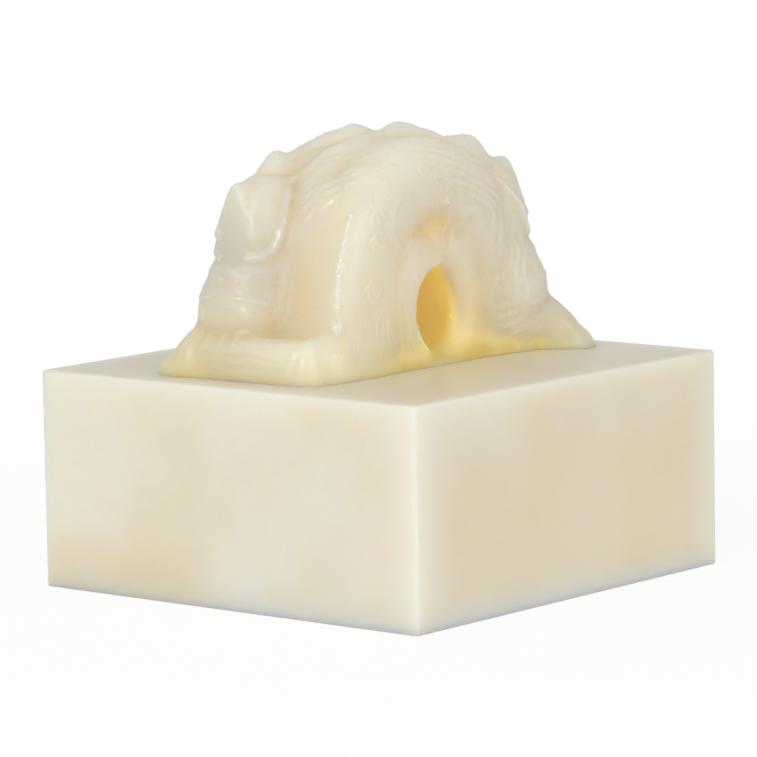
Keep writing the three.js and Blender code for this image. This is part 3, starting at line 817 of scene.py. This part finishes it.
def paint_knob(mesh):
    """Keeps the stone's tones as point attributes: painted warm shade in the hollows, polish on the ridges
    that handling wears smooth, an even grey with painted shade on the heads and the far paw and painted
    light on the flank and the crown, and a painted glow at the foot and in the deep hollows, standing in for
    light that comes through the stone."""
    points = points_of(mesh)
    normals = normals_of(mesh)
    broad = ((neighbours_mean(mesh, points, 260) - points) * normals).sum(1)
    fine = ((neighbours_mean(mesh, points, 12) - points) * normals).sum(1)
    height = points[:, 2]
    # Painted warm shade in the hollows, round the cord hole and at the foot
    warm_shade = neighbours_mean(mesh, warm_shade_of(points, broad, fine)[:, None], 6)[:, 0]
    polish = neighbours_mean(mesh, np.clip(-fine * 7 - 0.12, 0, 1)[:, None], 3)[:, 0]
    polish *= 1 - 0.9 * np.clip(spots(points, DULL_SPOTS), 0, 1)
    # The far paw gets painted shade, and loses its painted glow
    far_paw = np.exp(-(((points - [19, 38, 6]) / [7, 8, 8]) ** 2).sum(1))
    # Even grey tone, with painted shade on the heads and the far paw, and painted light on the flank and the
    # crown
    grey_and_shade = 0.4 + spots(points, SHADE_SPOTS) + 0.6 * far_paw - 0.25 * np.clip((height - 38) / 8, 0, 1)
    # Painted glow at the foot and in patches, standing in for light carried through the stone
    foot = np.clip(1 - height / 5, 0, 1) ** 1.5 * 0.6 + spots(points, LIT_SPOTS)
    foot *= 1 - np.clip(far_paw * 1.3, 0, 1)
    # Painted glow where the painted warm shade is deep, less at the lip below the cord hole
    depth = np.clip((warm_shade - 0.42) / 0.43, 0, 1)
    lip = np.clip(spot(points, [17, 0.5, 0.5], [5, 8, 4]), 0, 1)
    glow = depth**2 * (3 - 2 * depth) * (1 - 0.8 * lip)
    tones = {"warm_shade": warm_shade, "polish": polish, "grey_and_shade": grey_and_shade, "foot": foot, "glow": glow}
    for name, value in tones.items():
        mesh.attributes.new(name, "FLOAT", "POINT").data.foreach_set("value", value.astype(np.float32))


def carved_knob():
    """The two dragons: a smooth body with soft hollows beside the heads, the carving joined to it, eased on
    the forehead and round the cord hole, and the scales and hair as relief."""
    body = fused(from_grids("knob_body", body_grids()), BODY_VOXEL, BODY_ROUNDS)
    eased(body.data, [5, -29, 19], [8.5, 9, 15], 90)
    cut_cord_hole(body)
    carving = from_grids("knob_carving", carved_grids(Skin(body)))
    knob = joined("carved_knob", [body, carving])
    fused(knob, CARVED_VOXEL, CARVED_ROUNDS)
    eased(knob.data, [HEAD_X + 2, -33, 34], [7, 5, 7], 30)
    points = points_of(knob.data)
    points[:, 0] += ease_hole(points)
    move_points(knob.data, points)
    eased(knob.data, [16, 3, 13], [5, 9, 11], 8)
    points = points_of(knob.data)
    normals = normals_of(knob.data)
    relief = scales(points) + hair(points, normals)
    move_points(knob.data, points + normals * relief[:, None])
    thin = knob.modifiers.new("thin", "DECIMATE")
    thin.ratio = min(1.0, KNOB_TRIANGLES / (2 * len(knob.data.polygons)))
    applied(knob)
    paint_knob(knob.data)
    return knob


# The block and its printing face

def square_ring(inset, height, radius, straight=10, bend=6):
    """One ring of the block's outline: a square drawn in by the inset, its corners arcs of the radius less
    the inset."""
    half = HALF_SIDE - inset
    r = max(radius - inset, min(half, 0.05))
    arcs = []
    for start in np.arange(4) * math.pi / 2:
        angle = start + np.linspace(0, math.pi / 2, bend)
        way = np.array([math.cos(start) - math.sin(start), math.sin(start) + math.cos(start)])
        arcs.append((half - r) * way + r * np.stack([np.cos(angle), np.sin(angle)], -1))
    share = np.linspace(0, 1, straight + 1, endpoint=False)[1:, None]
    sides = [arc[-1] + (after[0] - arc[-1]) * share for arc, after in zip(arcs, arcs[1:] + arcs[:1])]
    plan = np.vstack([part for pair in zip(arcs, sides) for part in pair])
    return np.column_stack([plan, np.full(len(plan), height - DECK)])


def seal_block():
    """The block: its edge profile of insets and heights carried round the square outline."""
    soft = BLOCK_EDGE
    turn = np.radians(np.linspace(0, 90, 7))
    profile = [(4.0, 2.4), (4.0, 0.15), (3.85, 0.0), (0.25, 0.0), (0.0, 0.25)]
    profile += [(0.0, z) for z in np.linspace(6, DECK - soft - 2, 8)]
    profile += [(soft - soft * math.cos(a), DECK - soft + soft * math.sin(a)) for a in turn]
    profile += [(inset, DECK) for inset in (6, 14, 24, 36, 46)]
    rings = [square_ring(inset, height, BLOCK_CORNER) for inset, height in profile]
    floor = rings[0].mean(0) * np.ones_like(rings[0])
    top = rings[-1].mean(0) * np.ones_like(rings[0])
    return from_grids("stone_block", [np.stack([floor, *rings, top])])


def fret_bars():
    """Low and high corners of every stroke of the fret: square spirals of even line and gap, one in each
    cell of the field, turned over in every other cell."""
    field = 2 * (HALF_SIDE - BORDER)
    cell = (field - FRET_SPACE) / FRET_CELLS
    half = FRET_LINE / 2
    pitch = 2 * FRET_LINE
    turns = []
    reach = (cell - FRET_SPACE) / 2 - half
    while reach > pitch / 2:
        turns += [[-reach, -reach], [reach, -reach], [reach, reach], [-reach, reach]]
        turns += [[-reach, pitch - reach], [pitch - reach, pitch - reach]]
        reach -= pitch
    turns = np.array(turns)
    bars = []
    for i in range(FRET_CELLS):
        for j in range(FRET_CELLS):
            middle = (np.array([i, j]) + 0.5) * cell - (field - FRET_SPACE) / 2
            spiral = turns * [1 if (i + j) % 2 else -1, 1] + middle
            low = np.minimum(spiral[:-1], spiral[1:]) - half
            high = np.maximum(spiral[:-1], spiral[1:]) + half
            bars.append(np.stack([low, high], 1))
    return np.vstack(bars)


def printing_face():
    """The cut field of the underside: a height grid, 0 on the strokes and the cut's depth between them, with
    a slope at each stroke's edge, closed by a flat top inside the block."""
    bars = fret_bars()
    edge = HALF_SIDE - BORDER + 0.3
    slope = 0.18
    lines = np.unique(np.round(bars.ravel(), 3))
    places = np.concatenate([lines - slope / 2, lines + slope / 2, [-edge, edge]])
    places = np.unique(np.round(places, 3))
    places = places[(places >= -edge) & (places <= edge)]
    gaps = np.diff(places)
    wide = gaps > 1.2
    places = np.sort(np.concatenate([places, (places[:-1] + gaps / 2)[wide]]))
    x, y = np.meshgrid(places, places, indexing="ij")
    off = np.full(x.shape, -9.0)
    for (x0, y0), (x1, y1) in bars:
        off = np.maximum(off, np.minimum(np.minimum(x - x0, x1 - x), np.minimum(y - y0, y1 - y)))
    height = FACE_CUT * np.clip(0.5 - off / slope, 0, 1)
    count = len(places)
    under = np.stack([x, y, height - DECK], -1).reshape(-1, 3)
    over = np.stack([x, y, np.full(x.shape, FACE_TOP) - DECK], -1).reshape(-1, 3)
    row, column = np.meshgrid(np.arange(count - 1), np.arange(count - 1), indexing="ij")
    corner = (row * count + column).ravel()
    faces = np.stack([corner, corner + 1, corner + count + 1, corner + count], -1)
    back = faces[:, ::-1] + len(under)
    ring = np.concatenate([np.arange(count), np.arange(1, count) * count + count - 1,
                           (count - 1) * count + np.arange(count - 2, -1, -1),
                           np.arange(count - 2, 0, -1) * count])
    after = np.roll(ring, -1)
    wall = np.stack([ring, after, after + len(under), ring + len(under)], -1)[:, ::-1]
    faces = np.vstack([faces, back, wall])
    return shown("printing_face", mesh_of("printing_face", np.vstack([under, over]), faces))


# Finishes

class Wire:
    """A node's output. Arithmetic on it adds Math nodes."""

    def __init__(self, finish, socket):
        self.finish = finish
        self.socket = socket

    def math(self, operation, *values):
        return self.finish.node("Math", {"operation": operation}, dict(enumerate(values)))

    def __add__(self, other):
        return self.math("ADD", self, other)

    def __sub__(self, other):
        return self.math("SUBTRACT", self, other)

    def __rsub__(self, other):
        return self.math("SUBTRACT", other, self)

    def __mul__(self, other):
        return self.math("MULTIPLY", self, other)

    __radd__ = __add__
    __rmul__ = __mul__

    def absolute(self):
        return self.math("ABSOLUTE", self)

    def most(self, other):
        return self.math("MAXIMUM", self, other)

    def least(self, other):
        return self.math("MINIMUM", self, other)


class Finish:
    """A material, with one method for every kind of node."""

    def __init__(self, name):
        self.material = bpy.data.materials.new(name)
        self.material.use_nodes = True
        self.tree = self.material.node_tree
        self.tree.nodes.clear()

    def node(self, kind, settings=None, sockets=None, output=0):
        made = self.tree.nodes.new("ShaderNode" + kind)
        for key, value in (settings or {}).items():
            if key == "stops":
                for element, (place, colour) in zip(made.color_ramp.elements, value):
                    element.position = place
                    element.color = colour
            else:
                setattr(made, key, value)
        for key, value in (sockets or {}).items():
            if isinstance(value, Wire):
                self.tree.links.new(value.socket, made.inputs[key])
            else:
                made.inputs[key].default_value = value
        return Wire(self, made.outputs[output])

    def mix(self, factor, a, b):
        return self.node("Mix", {"data_type": "RGBA"}, {0: factor, 6: a, 7: b}, output=2)

    def step(self, value, low, high):
        """0 below low, 1 above high and smooth between."""
        return self.node("MapRange", {"interpolation_type": "SMOOTHSTEP"},
                         {"Value": value, "From Min": low, "From Max": high})

    def noise(self, place, scale, detail=2.0, roughness=0.5):
        return self.node("TexNoise", {}, {"Vector": place, "Scale": scale, "Detail": detail,
                                          "Roughness": roughness})

    def clouds(self, place):
        return self.noise(place, 34.0, 3.0)

    def grain(self, place):
        return self.noise(place, 420.0, 4.0)

    def kept(self, name):
        """A point attribute of the mesh."""
        return self.node("Attribute", {"attribute_name": name}, {}, output="Fac")

    def stretched(self, place, scale):
        return self.node("Mapping", {}, {"Vector": place, "Scale": scale})

    def output(self, shader):
        out = self.tree.nodes.new("ShaderNodeOutputMaterial")
        self.tree.links.new(shader.socket, out.inputs["Surface"])
        return self.material


def srgb(red, green, blue):
    """A colour seen on a screen, 0 to 255, as the shader's linear colour."""
    linear = []
    for value in (red, green, blue):
        share = value / 255
        linear.append(share / 12.92 if share <= 0.04045 else ((share + 0.055) / 1.055) ** 2.4)
    return (*linear, 1.0)


# Some of these colours paint light and shade: the honey and deep tones are painted warm shade in the knob's
# hollows, ash is its grey tone with painted shade, amber and foot are a painted glow, warm and dull are
# painted shade on the block's +X face and top, and cool is both the stone's veins and painted light on the
# block's edges.
PALE = srgb(239, 233, 216)
CREAM = srgb(234, 225, 202)
HONEY_SHADE = srgb(233, 203, 122)
COOL = srgb(236, 233, 220)
TAN = srgb(226, 200, 150)
SIDE_SHADE = srgb(236, 216, 176)
TOP_SHADE = srgb(212, 203, 180)
ASH = srgb(207, 203, 191)
AMBER_GLOW = srgb(206, 198, 118)
DEEP_SHADE = srgb(216, 182, 98)
FOOT_GLOW = srgb(199, 192, 139)
DARK = srgb(0, 0, 0)


def stone(name, rough, reach, grit, look_of):
    """Translucent stone: pale tones in soft clouds, light that spreads inside, and a thin polish."""
    finish = Finish(name)
    place = finish.node("TexCoord", output="Object")
    veins = finish.noise(place, 9.0, 5.0, 0.62)
    colour = finish.mix(finish.step(finish.clouds(place), 0.34, 0.66), CREAM, PALE)
    colour = finish.mix(finish.step(veins, 0.5, 0.68) * 0.35, colour, COOL)
    scratches = finish.noise(finish.stretched(place, (260.0, 260.0, 1400.0)), 1.0, 2.0)
    bump = finish.node("Bump", {}, {"Height": finish.grain(place) + scratches * 0.4, "Strength": grit,
                                    "Distance": 0.0004})
    sockets = {
        "IOR": 1.56,
        "Subsurface Weight": 1.0,
        "Subsurface Radius": (1.0, 0.84, 0.44),
        "Subsurface Scale": reach,
        "Subsurface Anisotropy": 0.0,
        "Coat Weight": 0.25,
        "Coat Roughness": 0.12,
        # Strength of the painted glow, which stands in for light carried through the stone
        "Emission Strength": 0.3,
        "Normal": bump,
    }
    sockets.update(look_of(finish, place, colour, rough))
    return finish.output(finish.node("BsdfPrincipled", {"subsurface_method": "RANDOM_WALK"}, sockets))


def knob_look(finish, place, colour, rough):
    """Painted warm shade in the hollows, deepest round the cord hole and at its foot. A painted glow,
    standing in for light carried through the stone, at the foot and where the painted shade is deep."""
    warm_shade = finish.kept("warm_shade")
    # Even grey tone, with painted shade on the heads and the far paw, and painted light on the flank and the
    # crown
    colour = finish.mix(finish.kept("grey_and_shade"), colour, ASH)
    # Painted glow at the foot and where the painted warm shade is deep
    light = finish.mix(finish.kept("glow"), finish.mix(finish.kept("foot"), DARK, FOOT_GLOW), AMBER_GLOW)
    polish = finish.kept("polish")
    return {
        "Base Color": finish.mix(finish.step(warm_shade, 0.7, 1.05), finish.mix(warm_shade, colour, HONEY_SHADE), DEEP_SHADE),
        "Emission Color": light,
        "Roughness": finish.grain(place) * 0.14 + polish * -0.26 + rough,
        "Coat Weight": polish * 0.8 + 0.04,
    }


def block_look(finish, place, colour, rough):
    """Painted light: paler along the edges, where the second largest of the three distances from the middle,
    as shares of the half sizes, nears 1. Painted shade: the lower part of the +X face is warmer and darker,
    and the top is darker. Low on the front is a tan patch."""
    x, y, z = (finish.node("SeparateXYZ", {}, {0: place}, output=axis) for axis in range(3))
    shares = [(x * (1 / (HALF_SIDE * MM))).absolute(), (y * (1 / (HALF_SIDE * MM))).absolute(),
              ((z - DECK * MM / 2) * (2 / (DECK * MM))).absolute()]
    most = shares[0].most(shares[1]).most(shares[2])
    least = shares[0].least(shares[1]).least(shares[2])
    second = shares[0] + shares[1] + shares[2] - most - least
    drift = finish.noise(place, 26.0, 3.0)
    edge = finish.step(second + drift * 0.16, 0.82, 1.08)
    # Painted light along the edges
    colour = finish.mix(edge * 0.7, colour, COOL)
    low = finish.step(z * -1.0 + drift * 0.01, -0.011, -0.001)
    # Painted shade on the lower part of the +X face
    side = finish.step(x, 0.035, 0.05) * (1.0 - finish.step(z, 0.026, 0.044)) * (1.0 - edge)
    colour = finish.mix(side * 0.4, colour, SIDE_SHADE)
    # Painted shade on the top
    colour = finish.mix(finish.step(z, (DECK - 0.6) * MM, DECK * MM) * 0.5, colour, TOP_SHADE)
    patch = low * finish.step(y * -1.0, 0.044, 0.0495) * finish.step(x * -1.0 + drift * 0.01, 0.0, 0.02)
    return {
        "Base Color": finish.mix(patch * 0.3, colour, TAN),
        "Emission Color": DARK,
        "Roughness": finish.grain(place) * 0.14 + finish.clouds(place) * 0.06 + rough,
    }


def floor_finish():
    """White paper sweep. What the eye or a reflection sees of it is mostly plain white, and keeps the
    shadow."""
    finish = Finish("floor_white")
    ray, glossy, through = (finish.node("LightPath", output=f"Is {kind} Ray")
                            for kind in ("Camera", "Glossy", "Transmission"))
    white = finish.node("Emission", {}, {"Color": (1, 1, 1, 1), "Strength": 1.0})
    paper = finish.node("BsdfDiffuse", {}, {"Color": (0.93, 0.93, 0.93, 1)})
    place = finish.node("TexCoord", output="Object")
    away = finish.node("VectorMath", {"operation": "LENGTH"}, {0: place}, output="Value")
    share = (ray + glossy + through) * (finish.step(away, 0.09, 0.35) * 0.1 + 0.9)
    return finish.output(finish.node("MixShader", {}, {0: share, 1: paper, 2: white}))


# Stage

def lay_floor():
    """Round paper floor that sweeps up into a low wall: a profile turned round Z."""
    radius = 2600.0
    sweep = 500.0
    turn = np.radians(np.linspace(0, 90, 10))
    profile = [(0.0, 0.0), (radius, 0.0)]
    profile += [(radius + sweep * math.sin(a), sweep - sweep * math.cos(a)) for a in turn[1:]]
    around = np.linspace(0, 2 * math.pi, 64, endpoint=False)
    rings = [np.stack([r * np.cos(around), r * np.sin(around), z - DECK + 0 * around], -1)
             for r, z in profile]
    floor = from_grids("floor", [np.stack(rings)])
    floor.data.materials.append(floor_finish())
    floor.data.shade_flat()


def area_light(name, azimuth, elevation, distance, size, power):
    """A square lamp that looks at the knob. Azimuth turns from the front, -Y, towards +X."""
    lamp = bpy.data.lights.new(name, "AREA")
    lamp.size = size
    lamp.energy = power
    place = bpy.data.objects.new(name, lamp)
    a, e = math.radians(azimuth), math.radians(elevation)
    out = Vector((math.sin(a) * math.cos(e), -math.cos(a) * math.cos(e), math.sin(e)))
    place.location = Vector((0, 0, 0.05)) + out * distance
    place.rotation_euler = out.to_track_quat("Z", "Y").to_euler()
    bpy.context.scene.collection.objects.link(place)


def light_stage():
    area_light("key", 14, 28, 1.3, 0.2, 4.9)
    area_light("fill", 88, 18, 1.6, 1.2, 4.4)
    world = bpy.data.worlds.new("studio")
    world.use_nodes = True
    world.node_tree.nodes["Background"].inputs["Color"].default_value = (1, 1, 1, 1)
    world.node_tree.nodes["Background"].inputs["Strength"].default_value = 0.6
    bpy.context.scene.world = world


def set_camera():
    back = Vector((math.sin(AZIMUTH) * math.cos(ELEVATION), -math.cos(AZIMUTH) * math.cos(ELEVATION),
                   math.sin(ELEVATION)))
    right = Vector((math.cos(AZIMUTH), math.sin(AZIMUTH), 0))
    up = back.cross(right)
    x_axis = math.cos(ROLL) * right + math.sin(ROLL) * up
    y_axis = -math.sin(ROLL) * right + math.cos(ROLL) * up
    place = right * AIM_RIGHT + Vector((0, 0, AIM_HEIGHT)) + back * DISTANCE
    camera = bpy.data.objects.new("camera", bpy.data.cameras.new("camera"))
    camera.data.sensor_width = SENSOR
    camera.data.sensor_fit = "HORIZONTAL"
    camera.data.lens = FOCAL_PIXELS / IMAGE * SENSOR
    camera.data.clip_end = 50
    turn = Matrix((x_axis, y_axis, back)).transposed()
    camera.matrix_world = Matrix.Translation(place) @ turn.to_4x4()
    bpy.context.scene.collection.objects.link(camera)
    bpy.context.scene.camera = camera


# Assembly

set_camera()
lay_floor()
light_stage()
bpy.context.scene.view_settings.view_transform = "Standard"

block = seal_block()
block.data.materials.append(stone("block_stone", 0.34, 0.009, 0.05, block_look))
block.data.shade_smooth()
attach(block, "root")
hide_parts("seal_block")

under = printing_face()
under.data.materials.append(stone("cut_stone", 0.4, 0.006, 0.1, block_look))
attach(under, "root")
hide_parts("seal_face")

knob = carved_knob()
knob.data.materials.clear()
knob.data.materials.append(stone("knob_stone", 0.4, 0.02, 0.25, knob_look))
knob.data.shade_smooth()
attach(knob, "root")
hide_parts(*[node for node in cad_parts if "dragon" in node or node == "cord_web"])
